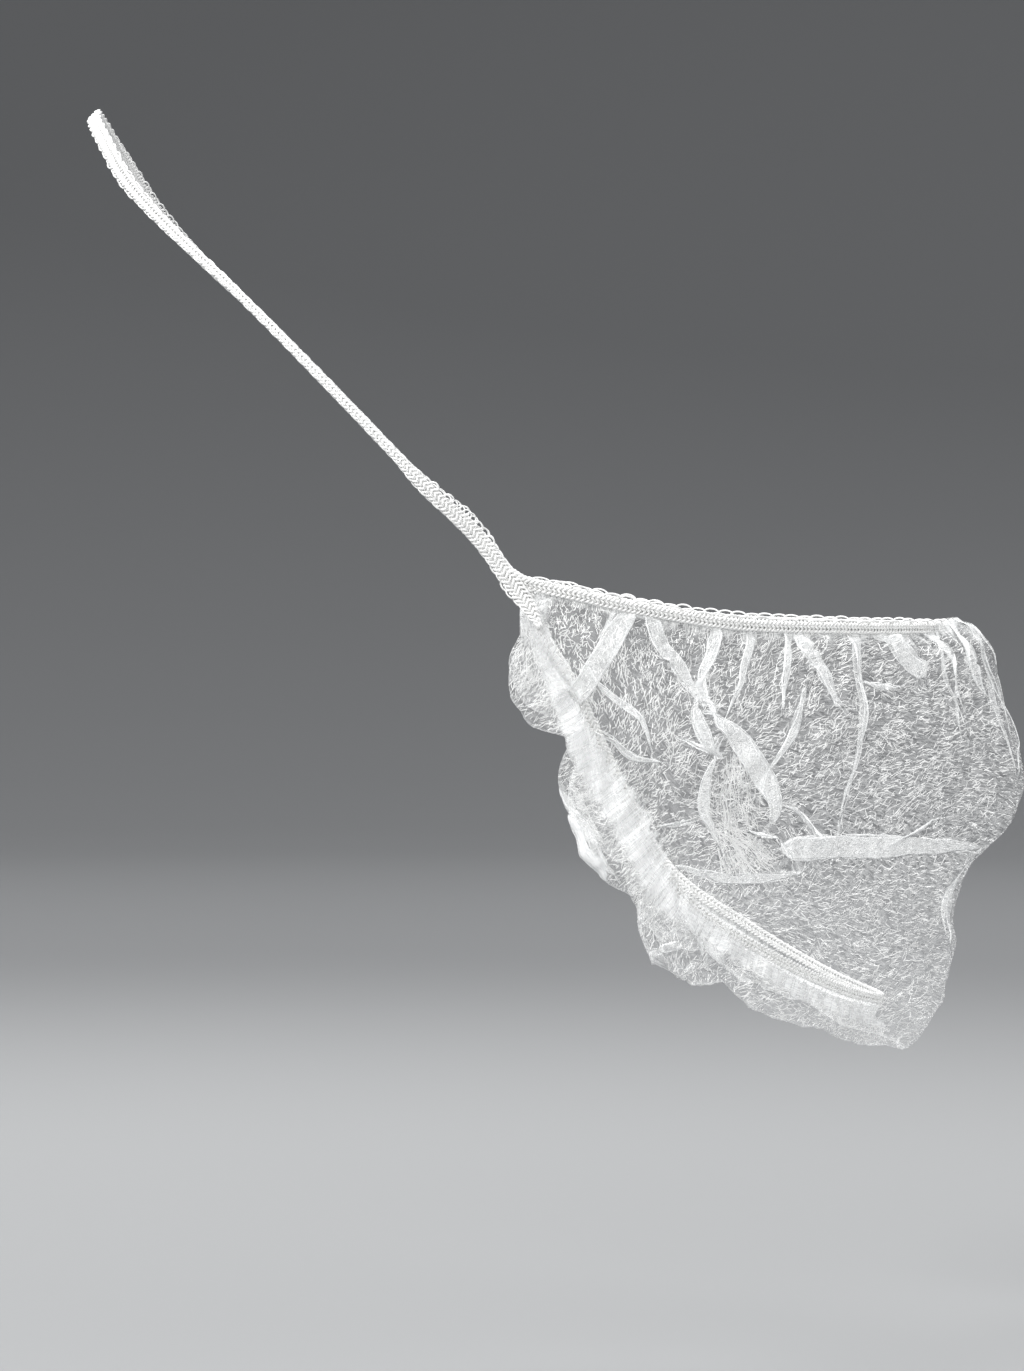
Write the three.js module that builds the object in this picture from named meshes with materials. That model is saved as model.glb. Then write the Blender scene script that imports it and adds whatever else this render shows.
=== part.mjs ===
// A disposable beard net in its worn form: a hollow nonwoven pouch, gathered on an elastic along its
// upper edge and another along its lower edge, and a head elastic that joins the two side corners
// round the back of the crown. Millimetres, +X to the wearer's front, +Y to the wearer's left, +Z up.
// The origin is where the head elastic bears on the back of the crown.
import * as THREE from "three";

// Driving dimensions
const fabric = { wall: 1, columns: 92, rows: 24, bareShare: 0.025 };
const edgeElastic = { width: 3, thickness: 1.6, facets: 64 };
const headElastic = { thickness: 1.6, facets: 64 };
const sewnGap = 0.3;
const crownAxisForward = 75; // the upright axis of the head that the head elastic goes round

// Finishes
const nonwoven = { color: 0xf4f5f3, roughness: 0.85, metalness: 0 };
const knittedElastic = { color: 0xfbfbf8, roughness: 0.9, metalness: 0 };

// The gathered edges of the face opening on the wearer's right, from the side corner to the middle.
const upperEdge = [
  { forward: 95, half: 67, up: -106 },
  { forward: 107, half: 66, up: -109 },
  { forward: 118, half: 63, up: -111.5 },
  { forward: 139, half: 54.5, up: -115 },
  { forward: 165, half: 37.5, up: -116.2 },
  { forward: 185, half: 15, up: -116.5 },
  { forward: 191, half: 0, up: -116.5 },
];
const lowerEdge = [
  { forward: 92.2, half: 66, up: -107.4 },
  { forward: 97.5, half: 64, up: -116.5 },
  { forward: 104.5, half: 61, up: -128 },
  { forward: 116.5, half: 56, up: -153 },
  { forward: 129, half: 49.5, up: -174 },
  { forward: 147, half: 38.5, up: -186.5 },
  { forward: 164.5, half: 21, up: -196 },
  { forward: 175.5, half: 0, up: -200 },
];

// How far the wall stands out from the straight line between its two edges, at shares of the way down.
// At drawn the lower elastic draws it in, and below that it flares into a ruffle.
const levels = {
  lip: 0.02,
  upper: 0.12,
  mouth: 0.25,
  cheek: 0.4,
  tuck: 0.55,
  chin: 0.7,
  jowl: 0.84,
  drawn: 0.97,
};
const sections = [
  { along: 0, lip: 0.3, upper: 1, mouth: 1.6, cheek: 2, tuck: 2.2, chin: 2.4, jowl: 2.6, drawn: 2.6 },
  { along: 0.15, lip: 0.8, upper: 3, mouth: 5, cheek: 6, tuck: 6, chin: 6, jowl: 5, drawn: 2.8 },
  { along: 0.4, lip: 1.5, upper: 4.5, mouth: 8, cheek: 10.5, tuck: 11, chin: 10, jowl: 8, drawn: 3 },
  { along: 0.65, lip: 2.5, upper: 6, mouth: 11, cheek: 13, tuck: 13, chin: 11, jowl: 9, drawn: 3.4 },
  { along: 0.85, lip: 5, upper: 10, mouth: 16, cheek: 18, tuck: 15, chin: 11, jowl: 11, drawn: 7 },
  { along: 1, lip: 8, upper: 14, mouth: 19.5, cheek: 22, tuck: 16, chin: 11.5, jowl: 13.5, drawn: 13 },
];

// The ruffle of fabric that overhangs the lower elastic in puffs, by their place from corner to middle:
// how far it reaches past the elastic, and how far out its rim stands.
const puffs = [
  { along: 0.15, span: 0.14, reach: 10.5 },
  { along: 0.36, span: 0.13, reach: 12.5 },
  { along: 0.53, span: 0.1, reach: 13 },
  { along: 0.68, span: 0.11, reach: 10.5 },
  { along: 0.84, span: 0.11, reach: 10 },
  { along: 1, span: 0.12, reach: 8.5 },
];
const rim = [
  { along: 0, flare: 1.4 },
  { along: 0.15, flare: 3 },
  { along: 0.65, flare: 4.5 },
  { along: 0.85, flare: 6 },
  { along: 1, flare: 7 },
];
const leastReach = 5;
const cornerReach = 1;
const cornerShare = 0.13; // share of each side over which puffs, pleats and creases grow to full size
const turnRadius = 1.1; // of the fold along the ruffle's rim
const backShare = 0.5; // share of its reach at which the turned back layer lies nearest the wearer
const backDip = 0.6;

// Pleats that the elastics draw into the wall, as waves that are deepest at a share of the rows.
const pleats = [
  { count: 22, depth: 1.5, at: 0.2, spread: 0.09 },
  { count: 26, depth: 1.1, at: 0.56, spread: 0.07 },
];

// Creases of the two side walls as they look from the side: ridges from one point to another.
const creases = [
  { fromForward: 119.5, fromUp: -112.5, toForward: 133.5, toUp: -129.5, half: 4, lift: 2 },
  { fromForward: 137, fromUp: -115, toForward: 133.5, toUp: -130, half: 4, lift: 1.6 },
  { fromForward: 133.5, fromUp: -129.5, toForward: 148.5, toUp: -149, half: 4.5, lift: 2.6 },
  { fromForward: 137, fromUp: -138, toForward: 133, toUp: -156, half: 4, lift: 2 },
  { fromForward: 152, fromUp: -160.5, toForward: 188, toUp: -160.5, half: 4.5, lift: 2.6 },
  { fromForward: 127, fromUp: -166, toForward: 155, toUp: -167, half: 4, lift: 1.8 },
  { fromForward: 156.5, fromUp: -127, toForward: 149, toUp: -146, half: 4, lift: 1.6 },
  { fromForward: 155, fromUp: -119, toForward: 164.5, toUp: -132.5, half: 4, lift: 1.6 },
  { fromForward: 167, fromUp: -117, toForward: 164.5, toUp: -151, half: 4, lift: 2 },
  { fromForward: 169, fromUp: -125.5, toForward: 184, toUp: -127.5, half: 4, lift: 1.6 },
  { fromForward: 113, fromUp: -127, toForward: 123, toUp: -141.5, half: 4, lift: 1.6 },
];
const calmBand = 0.06; // share of the wall at each edge that stays free of pleats and creases

// The head elastic on the wearer's right, from the back of the crown down to the side corner. Lean is
// how far its outer face tips up from level, in degrees.
const headRoute = [
  { forward: -0.8, half: 0, up: 0, width: 3.8, lean: 45 },
  { forward: 1, half: 20, up: -3.5, width: 3.8, lean: 42 },
  { forward: 4.5, half: 33, up: -9.5, width: 3.8, lean: 38 },
  { forward: 9, half: 44, up: -17, width: 3.8, lean: 33 },
  { forward: 14.5, half: 51, up: -23.5, width: 3.2, lean: 28 },
  { forward: 21.1, half: 57.5, up: -30.2, width: 2.6, lean: 24 },
  { forward: 34.2, half: 67, up: -42.5, width: 2.2, lean: 17 },
  { forward: 54.2, half: 75.3, up: -62.8, width: 2.2, lean: 8 },
  { forward: 68.2, half: 76, up: -77.5, width: 2.2, lean: 5 },
  { forward: 75, half: 74.8, up: -84.6, width: 3.6, lean: 3 },
  { forward: 81.2, half: 72.8, up: -90.2, width: 4.6, lean: 2 },
  { forward: 85.4, half: 71, up: -94.6, width: 4.4, lean: 0 },
  { forward: 89.2, half: 69.6, up: -99.4, width: 4.2, lean: 0 },
  { forward: 93.7, half: 67.4, up: -104.4, width: 4.8, lean: 0 },
];

const vector = (x, y, z) => new THREE.Vector3(x, y, z);
const cross = (a, b) => new THREE.Vector3().crossVectors(a, b);
const stepped = (from, vectorAlong, distance) => from.clone().addScaledVector(vectorAlong, distance);

// A smooth line through a table of the right-hand side and its mirror image, from corner to corner.
function mirroredCurve(rows) {
  const right = rows.map((r) => vector(r.forward, -r.half, r.up));
  const left = rows.slice(0, -1).reverse();
  const points = [...right, ...left.map((r) => vector(r.forward, r.half, r.up))];
  return new THREE.CatmullRomCurve3(points, false, "centripetal");
}

// The value of a column at a place along a table whose rows rise in that place.
function between(rows, place, column, at) {
  const next = Math.max(1, rows.findIndex((r) => r[place] >= at));
  const [low, high] = [rows[next - 1], rows[next]];
  const share = THREE.MathUtils.smoothstep(at, low[place], high[place]);
  return THREE.MathUtils.lerp(low[column], high[column], share);
}

const upper = mirroredCurve(upperEdge);
const lower = mirroredCurve(lowerEdge);

// A share from corner to corner as a share from the nearer corner to the middle.
const alongSide = (share) => 1 - Math.abs(2 * share - 1);

// How far the fabric overhangs the lower elastic: rounded puffs with cusps between them.
function overhang(along) {
  const reaches = puffs.map(({ along: middle, span, reach }) => {
    const off = (along - middle) / span;
    return off * off < 1 ? reach * Math.sqrt(1 - off * off) : 0;
  });
  const grown = THREE.MathUtils.smoothstep(along, 0, cornerShare);
  return THREE.MathUtils.lerp(cornerReach, Math.max(leastReach, ...reaches), grown);
}

// The wall's line from the upper edge, over its puff, back to the lower edge.
function meridian(share) {
  const top = upper.getPointAt(share);
  const low = lower.getPointAt(share);
  const drop = low.clone().sub(top);
  const ahead = upper.getTangentAt(share).add(lower.getTangentAt(share));
  const out = cross(drop, ahead).normalize();
  const hang = cross(lower.getTangentAt(share), out).normalize();
  const along = alongSide(share);
  const standOff = (level) => between(sections, "along", level, along);
  const wall = Object.entries(levels).map(([level, down]) =>
    stepped(stepped(top, drop, down), out, standOff(level)),
  );
  const reach = overhang(along);
  const turn = stepped(stepped(low, hang, reach), out, between(rim, "along", "flare", along));
  const back = stepped(stepped(low, hang, backShare * reach), out, -backDip);
  const points = [top, ...wall, stepped(turn, out, turnRadius), stepped(turn, out, -turnRadius), back, low];
  return { out, line: new THREE.CatmullRomCurve3(points, false, "centripetal") };
}

// The pleats' depth at a share from corner to corner and a share of the rows.
function pleatDepth(share, down) {
  return pleats.reduce((sum, { count, depth, at, spread }) => {
    const fade = Math.exp(-(((down - at) / spread) ** 2));
    return sum + depth * fade * Math.cos(2 * Math.PI * count * share);
  }, 0);
}

// The creases' height at a point of a side wall.
function creaseHeight(point) {
  return creases.reduce((height, c) => {
    const start = new THREE.Vector2(c.fromForward, c.fromUp);
    const run = new THREE.Vector2(c.toForward, c.toUp).sub(start);
    const from = new THREE.Vector2(point.x, point.z).sub(start);
    const share = THREE.MathUtils.clamp(from.dot(run) / run.lengthSq(), 0, 1);
    const off = from.addScaledVector(run, -share).length() / c.half;
    return off < 1 ? Math.max(height, c.lift * (1 - off) ** 1.5) : height;
  }, 0);
}

// The middle of the pouch's wall, as columns of points from corner to corner.
function pouchColumns() {
  const columns = [];
  for (let i = 0; i <= fabric.columns; i++) {
    const share = THREE.MathUtils.lerp(fabric.bareShare, 1 - fabric.bareShare, i / fabric.columns);
    const { out, line } = meridian(share);
    const grown = THREE.MathUtils.smoothstep(alongSide(share), 0, cornerShare);
    columns.push(
      line.getPoints(fabric.rows).map((point, j) => {
        const down = j / fabric.rows;
        const calm = grown * THREE.MathUtils.smoothstep(Math.min(down, 1 - down), 0, calmBand);
        return stepped(point, out, calm * (pleatDepth(share, down) + creaseHeight(point)));
      }),
    );
  }
  return columns;
}

// A closed wall of even thickness whose middle runs through a grid of columns.
function wallGeometry(columns, thickness) {
  const [last, end] = [columns.length - 1, columns[0].length - 1];
  const at = (i, j) => columns[Math.min(Math.max(i, 0), last)][Math.min(Math.max(j, 0), end)];
  const positions = [];
  for (const side of [0.5, -0.5])
    columns.forEach((column, i) =>
      column.forEach((point, j) => {
        const across = at(i + 1, j).clone().sub(at(i - 1, j));
        const down = at(i, j + 1).clone().sub(at(i, j - 1));
        positions.push(...stepped(point, cross(down, across).normalize(), side * thickness));
      }),
    );
  const outer = (i, j) => i * (end + 1) + j;
  const inner = (i, j) => columns.length * (end + 1) + outer(i, j);
  const faces = [];
  const quad = (a, b, c, d) => faces.push(a, b, d, b, c, d);
  for (let i = 0; i < last; i++)
    for (let j = 0; j < end; j++) {
      quad(outer(i, j), outer(i, j + 1), outer(i + 1, j + 1), outer(i + 1, j));
      quad(inner(i, j), inner(i + 1, j), inner(i + 1, j + 1), inner(i, j + 1));
    }
  for (let i = 0; i < last; i++) {
    quad(outer(i, 0), outer(i + 1, 0), inner(i + 1, 0), inner(i, 0));
    quad(outer(i + 1, end), outer(i, end), inner(i, end), inner(i + 1, end));
  }
  for (let j = 0; j < end; j++) {
    quad(outer(0, j + 1), outer(0, j), inner(0, j), inner(0, j + 1));
    quad(outer(last, j), outer(last, j + 1), inner(last, j + 1), inner(last, j));
  }
  return indexed(positions, faces);
}

// A flat elastic swept along stations, each with a middle, an outer face direction and a width.
function bandGeometry(stations, thickness) {
  const profile = [
    [0.5, 0],
    [0.3, 0.5],
    [-0.3, 0.5],
    [-0.5, 0],
    [-0.3, -0.5],
    [0.3, -0.5],
  ];
  const positions = [];
  for (const { middle, across, face, width } of stations)
    for (const [w, t] of profile)
      positions.push(...stepped(stepped(middle, across, w * width), face, t * thickness));
  const sides = profile.length;
  const [first, last] = [0, (stations.length - 1) * sides];
  const faces = [];
  for (let k = 0; k < last; k += sides)
    for (let j = 0; j < sides; j++) {
      const [a, b] = [k + j, k + ((j + 1) % sides)];
      faces.push(a, b, a + sides, b, b + sides, a + sides);
    }
  for (let j = 1; j < sides - 1; j++) {
    faces.push(first, first + j + 1, first + j);
    faces.push(last, last + j, last + j + 1);
  }
  return indexed(positions, faces);
}

function indexed(positions, faces) {
  const geometry = new THREE.BufferGeometry();
  geometry.setAttribute("position", new THREE.Float32BufferAttribute(positions, 3));
  geometry.setIndex(faces);
  geometry.computeVertexNormals();
  return geometry;
}

// One station of an elastic: its flat faces look along out, and it is as wide as the row says.
function station(curve, share, out, width, offset) {
  const ahead = curve.getTangentAt(share);
  const face = stepped(out, ahead, -out.dot(ahead)).normalize();
  const across = cross(face, ahead);
  return { middle: stepped(curve.getPointAt(share), across, offset), across, face, width };
}

// An elastic that caps one gathered edge of the pouch from corner to corner.
function edgeElasticGeometry(curve) {
  const offset = fabric.wall / 2 + sewnGap + edgeElastic.width / 2;
  const stations = [];
  for (let i = 0; i <= edgeElastic.facets; i++) {
    const share = i / edgeElastic.facets;
    stations.push(station(curve, share, meridian(share).out, edgeElastic.width, offset));
  }
  return bandGeometry(stations, edgeElastic.thickness);
}

// The head elastic, from the right corner round the back of the crown to the left corner.
function headElasticGeometry() {
  const rows = [...headRoute].reverse();
  const curve = mirroredCurve(rows);
  const stations = [];
  for (let i = 0; i <= headElastic.facets; i++) {
    const share = i / headElastic.facets;
    const point = curve.getPointAt(share);
    const place = alongSide(curve.getUtoTmapping(share)) * (rows.length - 1);
    const row = Math.min(Math.floor(place), rows.length - 2);
    const column = (name) => THREE.MathUtils.lerp(rows[row][name], rows[row + 1][name], place - row);
    const lean = THREE.MathUtils.degToRad(column("lean"));
    const out = vector(point.x - crownAxisForward, point.y, 0).normalize();
    out.multiplyScalar(Math.cos(lean)).setZ(Math.sin(lean));
    stations.push(station(curve, share, out, column("width"), 0));
  }
  return bandGeometry(stations, headElastic.thickness);
}

function piece(name, geometry, finish) {
  const mesh = new THREE.Mesh(geometry, new THREE.MeshStandardMaterial(finish));
  mesh.name = name;
  return mesh;
}

const beardNet = new THREE.Group();
beardNet.add(
  piece("net_pouch", wallGeometry(pouchColumns(), fabric.wall), nonwoven),
  piece("upper_elastic", edgeElasticGeometry(upper), knittedElastic),
  piece("lower_elastic", edgeElasticGeometry(lower), knittedElastic),
  piece("head_elastic", headElasticGeometry(), knittedElastic),
);

export default beardNet;
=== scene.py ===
import math

import bmesh
import bpy
import numpy as np
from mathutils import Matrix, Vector


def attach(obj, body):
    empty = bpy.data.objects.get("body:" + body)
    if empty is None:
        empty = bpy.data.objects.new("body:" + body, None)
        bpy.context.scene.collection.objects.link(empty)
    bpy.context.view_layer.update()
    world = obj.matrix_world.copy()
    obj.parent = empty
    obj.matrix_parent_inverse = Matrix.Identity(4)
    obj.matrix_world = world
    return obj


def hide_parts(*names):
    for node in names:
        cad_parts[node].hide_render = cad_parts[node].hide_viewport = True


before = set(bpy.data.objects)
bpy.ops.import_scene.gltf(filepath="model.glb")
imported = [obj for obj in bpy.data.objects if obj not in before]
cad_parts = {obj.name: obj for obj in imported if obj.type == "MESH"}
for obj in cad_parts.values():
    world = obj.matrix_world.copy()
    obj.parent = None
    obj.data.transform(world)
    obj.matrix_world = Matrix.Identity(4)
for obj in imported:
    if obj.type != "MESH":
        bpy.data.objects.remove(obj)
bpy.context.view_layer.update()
dice = np.random.default_rng(11)
mm = 0.001  # tables are in millimetres, pieces in metres
print("frame loaded:", sorted(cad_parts))

# Camera, level with the net's right side and a little above it
camera = {"target": (0.0927, 0.0, -0.1277), "distance": 1.1, "elevation": 1.5, "lens": 128.3, "sensor": 36}


def makeCamera():
    tilt = math.radians(camera["elevation"])
    back = Vector((0, -math.cos(tilt), math.sin(tilt)))
    data = bpy.data.cameras.new("sideCamera")
    data.lens = camera["lens"]
    data.sensor_width = camera["sensor"]
    eye = bpy.data.objects.new("sideCamera", data)
    eye.location = Vector(camera["target"]) + back * camera["distance"]
    eye.rotation_euler = back.to_track_quat("Z", "Y").to_euler()
    bpy.context.scene.collection.objects.link(eye)
    bpy.context.scene.camera = eye


makeCamera()


# Lines and tables
def throughPoints(points, places):
    # a smooth line through points (..., n, 3), read at places counted in points
    points = np.asarray(points, float)
    count = points.shape[-2]
    first = 2 * points[..., :1, :] - points[..., 1:2, :]
    last = 2 * points[..., -1:, :] - points[..., -2:-1, :]
    ends = np.concatenate([first, points, last], axis=-2)
    gaps = np.sqrt(np.linalg.norm(np.diff(ends, axis=-2), axis=-1))
    span = np.clip(np.floor(places).astype(int), 0, count - 2)
    w = (places - span)[:, None]
    p0, p1, p2, p3 = (ends[..., span + k, :] for k in range(4))
    d0, d1, d2 = (gaps[..., span + k, None] for k in range(3))
    t1 = d1 * ((p1 - p0) / d0 - (p2 - p0) / (d0 + d1) + (p2 - p1) / d1)
    t2 = d1 * ((p2 - p1) / d1 - (p3 - p1) / (d1 + d2) + (p3 - p2) / d2)
    rise = p2 - p1
    return p1 + w * (t1 + w * (3 * rise - 2 * t1 - t2 + w * (t1 + t2 - 2 * rise)))


def smoothStep(x, low, high):
    w = np.clip((x - low) / (high - low), 0, 1)
    return w * w * (3 - 2 * w)


def eased(at, places, values):
    # a table's column, eased from row to row
    row = np.clip(np.searchsorted(places, at) - 1, 0, len(places) - 2)
    places, values = np.asarray(places, float), np.asarray(values, float)
    w = np.clip((at - places[row]) / (places[row + 1] - places[row]), 0, 1)
    return values[row] + (values[row + 1] - values[row]) * w * w * (3 - 2 * w)


def unit(v):
    return v / np.maximum(np.linalg.norm(v, axis=-1, keepdims=True), 1e-12)


def runLengths(line):
    # the length of a line up to each of its points
    return np.concatenate([[0], np.cumsum(np.linalg.norm(np.diff(line, axis=0), axis=1))])


def alongLine(dense, shares):
    # points and directions at shares of a dense line's length, and that length
    run = runLengths(dense)
    at = shares * run[-1]
    ahead = unit(np.gradient(dense, axis=0))
    read = lambda values: np.stack([np.interp(at, run, values[:, k]) for k in range(3)], -1)
    return read(dense), unit(read(ahead)), run[-1]


def mirrored(rows, steps=3001):
    # rows of forward, half the width, up on the right, carried round to the left
    right = [(f, -h, u) for f, h, u in rows]
    left = [(f, h, u) for f, h, u in rows[-2::-1]]
    whole = np.array(right + left)
    return throughPoints(whole, np.linspace(0, len(whole) - 1, steps))


# Pouch form, as in the solids: two gathered edges, and a wall that stands out between them
pouch = {
    # forward, half the width, up, from a corner to the middle
    "upperEdge": [(95, 67, -106), (107, 66, -109), (118, 63, -111.5), (139, 54.5, -115),
                  (165, 37.5, -116.2), (185, 15, -116.5), (191, 0, -116.5)],
    "lowerEdge": [(94.3, 66.2, -107.4), (97.7, 64, -116.5), (104.5, 61, -128), (116.5, 56, -153),
                  (129, 49.5, -174), (147, 38.5, -186.5), (164.5, 21, -196), (175.5, 0, -200)],
    "levels": [0.02, 0.12, 0.25, 0.4, 0.55, 0.7, 0.84, 0.97],  # shares of the way down
    "along": [0, 0.15, 0.4, 0.65, 0.85, 1],  # corner to middle, a column of stand-offs for each
    "standOff": [  # in millimetres, a row for each level
        [0.3, 0.8, 1.5, 2.5, 5, 8],
        [1, 3, 4.5, 6, 10, 14],
        [1.6, 5, 8, 11, 16, 19.5],
        [2, 6, 10.5, 13, 18, 22],
        [2.2, 6, 11, 13, 15, 16],
        [2.4, 6, 10, 11, 11, 11.5],
        [2.6, 5, 8, 9, 11, 13.5],
        [2.6, 2.8, 3, 3.4, 7, 13],  # drawn in by the lower elastic
    ],
    "puffs": [(0.13, 0.076, 10.6), (0.235, 0.05, 5.6), (0.35, 0.115, 12.2), (0.53, 0.1, 13),
              (0.68, 0.16, 10.5), (0.84, 0.2, 8.6), (1, 0.25, 8)],  # along, span, reach
    "flare": ([0, 0.15, 0.65, 0.85, 1], [0.6, 3, 4.5, 6, 7]),  # along, how far the ruffle stands out
    # in front the hem, the edge and the first level rise and stand out over the elastic
    "heading": {"from": 0.82, "full": 0.98, "rise": (2.2, 2.6, 1.6), "out": (1.6, 4.2, 0)},
    "leastReach": 4, "cornerReach": 0.3, "cornerShare": 0.1,  # the ruffle between its puffs and at the corners
    "turnRadius": 0.7, "backShare": 0.5, "backDip": 0.6,  # its rim, and its inner layer's way back
    "bareShare": 0.012, "hem": 2.2, "hemIn": 0.4,  # left off at the corners; the strip under the upper elastic
    "columns": 440, "rows": 112, "cut": (0.305, 0.125),  # the mesh, and its map's size in metres
}
upperLine = mirrored(pouch["upperEdge"])
lowerLine = mirrored(pouch["lowerEdge"])


def pouchFrames(shares):
    # the two edges, the outward direction and the overhang's direction at shares from corner to corner
    top, topAhead, _ = alongLine(upperLine, shares)
    low, lowAhead, _ = alongLine(lowerLine, shares)
    out = unit(np.cross(low - top, topAhead + lowAhead))
    return top, low, out, unit(np.cross(lowAhead, out))


def overhang(along):
    reach = np.full_like(along, pouch["leastReach"])
    for middle, span, far in pouch["puffs"]:
        off = np.clip((along - middle) / span, -1, 1)
        reach = np.maximum(reach, far * np.sqrt(1 - off * off))
    grown = smoothStep(along, 0, pouch["cornerShare"])
    return pouch["cornerReach"] + (reach - pouch["cornerReach"]) * grown


def meridians(shares):
    # control points of the wall's line from the upper edge, over the ruffle, back to the lower edge
    top, low, out, hang = pouchFrames(shares)
    along = 1 - np.abs(2 * shares - 1)
    rise = unit(np.cross(out, alongLine(upperLine, shares)[1]))
    lines = [top + rise * pouch["hem"] - out * pouch["hemIn"], top]
    for down, column in zip(pouch["levels"], pouch["standOff"]):
        stand = eased(along, pouch["along"], column)[:, None]
        lines.append(top + (low - top) * down + out * stand)
    heading = pouch["heading"]
    front = smoothStep(along, heading["from"], heading["full"])[:, None]
    for k in range(3):
        lines[k] = lines[k] + front * (rise * heading["rise"][k] + out * heading["out"][k])
    reach = overhang(along)[:, None]
    turn = low + hang * reach + out * eased(along, *pouch["flare"])[:, None]
    lines += [turn + out * pouch["turnRadius"], turn - out * pouch["turnRadius"]]
    lines += [low + hang * reach * pouch["backShare"] - out * pouch["backDip"], low]
    return np.stack(lines, axis=1)


def layOutWall(columns=901, rows=361, fineSteps=1201):
    # the smooth wall as a dense grid whose rows are evenly spaced on average
    lines = meridians(np.linspace(pouch["bareShare"], 1 - pouch["bareShare"], columns))
    last = lines.shape[1] - 1
    fine = np.linspace(0, last, fineSteps)
    rough = throughPoints(lines[::12], fine)  # some of the lines, for the spacing
    steps = np.linalg.norm(np.diff(rough, axis=1), axis=2).mean(axis=0)
    run = np.concatenate([[0], np.cumsum(steps)])
    places = np.interp(np.linspace(0, run[-1], rows), run, fine)
    wall = throughPoints(lines, places)
    normals = unit(np.cross(np.gradient(wall, axis=1), np.gradient(wall, axis=0)))
    return {"wall": wall, "normals": normals, "places": places / last, "last": last, "depth": run[-1]}


smooth = layOutWall()


def placeOf(point):
    # the share of the way down the sheet of one of its control points
    return np.interp(point / smooth["last"], smooth["places"], np.linspace(0, 1, len(smooth["places"])))


drawnPoint = 1 + len(pouch["levels"])  # the last level, drawn in by the lower elastic
drawnPlace = placeOf(drawnPoint)
turnPlace = placeOf(drawnPoint + 1.5)  # the ruffle's rim, between the next two points
print("wall laid out, mean depth", round(smooth["depth"], 1), "mm, elastic line at", round(drawnPlace, 3))


def readGrid(grid, u, v):
    # a grid of vectors read between its points
    x = np.clip(u, 0, 1) * (grid.shape[0] - 1)
    y = np.clip(v, 0, 1) * (grid.shape[1] - 1)
    i = np.minimum(x.astype(int), grid.shape[0] - 2)
    j = np.minimum(y.astype(int), grid.shape[1] - 2)
    a, b = (x - i)[:, None], (y - j)[:, None]
    above = grid[i, j] * (1 - a) + grid[i + 1, j] * a
    below = grid[i, j + 1] * (1 - a) + grid[i + 1, j + 1] * a
    return above * (1 - b) + below * b


# Gathers and crumples of the wall
gathers = {
    # folds along each elastic: their width and depth, where they peak and fade, how they sway, the dense strip
    "upper": {"wide": (3.0, 8.0), "depth": (0.3, 1.1), "start": 1, "peak": 5.0, "fade": 11.0,
              "sway": (0.004, 9), "dense": 5.2, "ragged": 0.7},
    "lower": {"wide": (1.9, 4.4), "depth": (0.03, 0.16), "wallFade": 5.0, "ruffleFade": 8.0,
              "sway": (0.006, 14), "dense": 3.5},
    "sharp": (0.96, 1.29),  # how near a fold's wave is to a zigzag, and the wave's height then
    # the drawn band over the lower elastic, as it lies seen from the side: forward, up, half its width
    "band": [(97.6, -112.2, 1.8), (103.6, -127.8, 2.6), (109.3, -141.3, 3.5), (118.7, -156.4, 3.7),
             (125.3, -170.9, 3.2), (130.3, -175.3, 2.3), (141.6, -183.8, 1.8),
             (158.6, -195, 1.4), (175, -202.5, 1)],
    "bandEdge": (0.85, 1.08), "bandRagged": 2.5,
    "rim": (0.8, 0.5), "corner": (0.005, 0.045),  # the ruffle's rim line and the drawn corners
    "crumples": [(27, 0.55), (19, 0.5), (13, 0.4), (8.5, 0.28)],  # size, depth
    "crumpleSway": (0.45, 3.1), "crumplePhase": 6.3,
    "calmEdge": 6, "calmFront": 0.75, "frontFrom": (0.7, 0.92),  # where the crumples die down
    "hemStep": 0.01, "hemRise": (0.4, 2.6), "hemSlip": (1, 6),  # how far below the hem the folds are free
}
crumpleWays = []
for _ in gathers["crumples"]:
    ways = unit(dice.normal(size=3)), unit(dice.normal(size=3))
    crumpleWays.append((*ways, dice.uniform(0, gathers["crumplePhase"], 2)))


def crumpleDepth(points):
    # flat facets that meet in sharp lines, as crumpled nonwoven has
    depth = np.zeros(len(points))
    far, often = gathers["crumpleSway"]
    for (size, high), (way, bend, phase) in zip(gathers["crumples"], crumpleWays):
        x = points @ way / size + far * np.sin(points @ bend / size * often + phase[0]) + phase[1]
        depth += high * (4 * np.abs(x - np.floor(x + 0.5)) - 1)
    return depth


def drawFolds(fold, length=305, most=400):
    # folds of uneven width and depth from corner to corner
    knots = np.cumsum(dice.uniform(*fold["wide"], most))
    knots = np.concatenate([[0], knots[knots < length], [length]]) / length
    return knots, dice.uniform(*fold["depth"], len(knots))


upperFolds, lowerFolds = drawFolds(gathers["upper"]), drawFolds(gathers["lower"])


def foldWave(u, folds):
    knots, depths = folds
    sharp, high = gathers["sharp"]
    turn = np.interp(u, knots, np.arange(len(knots)))
    depth = np.interp(turn, np.arange(len(knots)), depths)
    return depth * np.arcsin(sharp * np.sin(2 * np.pi * turn)) / high


def gatherDepth(u, v):
    top, low = gathers["upper"], gathers["lower"]
    swayed = lambda fold: u + fold["sway"][0] * np.sin(fold["sway"][1] * v)
    down = v * smooth["depth"]
    past = np.maximum(down - top["peak"], 0)
    near = smoothStep(down, top["start"], top["peak"]) * np.exp(-past / top["fade"])
    depth = near * foldWave(swayed(top), upperFolds)
    off = (v - drawnPlace) * smooth["depth"]
    near = np.exp(-np.where(off < 0, -off / low["wallFade"], off / low["ruffleFade"]))
    near = np.maximum(near, np.exp(-(1 - v) * smooth["depth"] / low["ruffleFade"]))
    return depth + near * foldWave(swayed(low), lowerFolds)


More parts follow.
